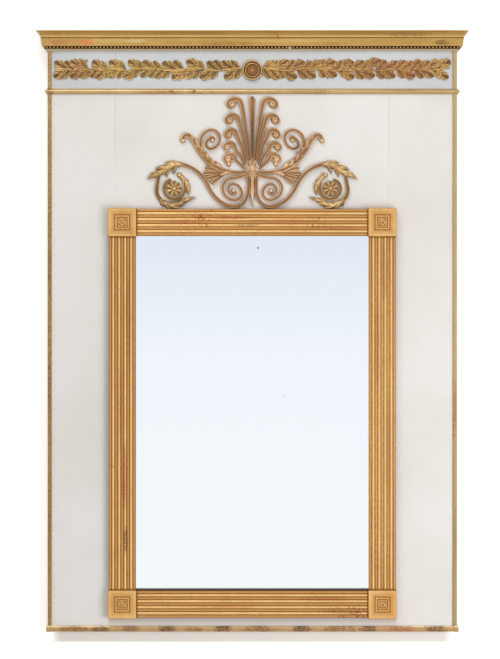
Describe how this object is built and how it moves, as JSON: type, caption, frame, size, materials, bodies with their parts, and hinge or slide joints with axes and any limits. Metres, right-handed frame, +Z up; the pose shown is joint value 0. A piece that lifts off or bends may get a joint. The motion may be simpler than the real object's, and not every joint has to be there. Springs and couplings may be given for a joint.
{
  "type": "trumeau mirror",
  "caption": "Tall wall mirror on a painted panel, with a gilt cornice, a frieze with garlands, a scrolled crest and a reeded gilt frame.",
  "frame": {"origin": "middle of the bottom edge of the back, in the wall plane", "axes": "+Z up, -Y out of the wall towards the viewer, +X to the viewer's right"},
  "size_m": [1.22, 0.075, 1.7],
  "materials": {
    "panel_paint": "aged warm grey-white paint on boards",
    "frieze_paint": "aged pale blue-grey paint",
    "gilding": "rubbed water gilding over red bole",
    "cornice_gilding": "worn gilding, browner, over red bole",
    "garland_gilding": "dark antique gold",
    "foot_gilding": "browned gold",
    "bare_wood": "bare aged softwood",
    "mirror_plate": "old silvered plate",
    "button_brass": "dull brass",
    "fitting_steel": "plated steel"
  },
  "bodies": {
    "case": {"bed_fillets": "cornice_gilding", "bottom_batten": "bare_wood", "bottom_centre_board": "panel_paint", "bottom_left_corner_block": "gilding", "bottom_rail": "foot_gilding", "bottom_right_corner_block": "gilding", "cornice_front": "cornice_gilding", "cornice_left_return": "cornice_gilding", "cornice_right_return": "cornice_gilding", "crest_centre": "gilding", "cross_batten": "bare_wood", "crown_board": "bare_wood", "fitting_screws": "fitting_steel", "frame_bottom_rail": "gilding", "frame_left_stile": "gilding", "frame_right_stile": "gilding", "frame_top_rail": "gilding", "frieze_board": "frieze_paint", "glass_backing": "bare_wood", "left_batten": "bare_wood", "left_crest_fan": "gilding", "left_crest_rinceau": "gilding", "left_crest_scroll": "gilding", "left_edge_strip": "gilding", "left_foot_block": "foot_gilding", "left_frieze_strip": "gilding", "left_garland": "garland_gilding", "left_hanger_strap": "fitting_steel", "left_side_board": "panel_paint", "mid_rail_front": "gilding", "mid_rail_left_return": "gilding", "mid_rail_right_return": "gilding", "mirror_glass": "mirror_plate", "patera": "garland_gilding", "pearl_row_front": "cornice_gilding", "pearl_row_returns": "cornice_gilding", "right_batten": "bare_wood", "right_crest_fan": "gilding", "right_crest_rinceau": "gilding", "right_crest_scroll": "gilding", "right_edge_strip": "gilding", "right_foot_block": "foot_gilding", "right_frieze_strip": "gilding", "right_garland": "garland_gilding", "right_hanger_strap": "fitting_steel", "right_side_board": "panel_paint", "tie_batten": "bare_wood", "top_batten": "bare_wood", "top_centre_board": "panel_paint", "top_left_corner_block": "gilding", "top_right_corner_block": "gilding"},
    "left_ring": {"left_hanger_ring": "fitting_steel"},
    "left_lower_button": {"left_lower_turn_button": "button_brass"},
    "left_upper_button": {"left_upper_turn_button": "button_brass"},
    "right_ring": {"right_hanger_ring": "fitting_steel"},
    "right_lower_button": {"right_lower_turn_button": "button_brass"},
    "right_upper_button": {"right_upper_turn_button": "button_brass"}
  },
  "joints": [
    {"name": "left_ring_swing", "type": "hinge", "parent": "case", "child": "left_ring", "pos_m": [-0.475, -0.02155, 1.44], "axis": [1, 0, 0], "range_deg": [0, 180]},
    {"name": "left_lower_button_turn", "type": "hinge", "parent": "case", "child": "left_lower_button", "pos_m": [-0.3573, -0.0433, 0.3591], "axis": [0, 1, 0], "range_deg": [-90, 90]},
    {"name": "left_upper_button_turn", "type": "hinge", "parent": "case", "child": "left_upper_button", "pos_m": [-0.3573, -0.0433, 0.8791], "axis": [0, 1, 0], "range_deg": [-90, 90]},
    {"name": "right_ring_swing", "type": "hinge", "parent": "case", "child": "right_ring", "pos_m": [0.475, -0.02155, 1.44], "axis": [1, 0, 0], "range_deg": [0, 180]},
    {"name": "right_lower_button_turn", "type": "hinge", "parent": "case", "child": "right_lower_button", "pos_m": [0.3573, -0.0433, 0.3591], "axis": [0, 1, 0], "range_deg": [-90, 90]},
    {"name": "right_upper_button_turn", "type": "hinge", "parent": "case", "child": "right_upper_button", "pos_m": [0.3573, -0.0433, 0.8791], "axis": [0, 1, 0], "range_deg": [-90, 90]}
  ]
}
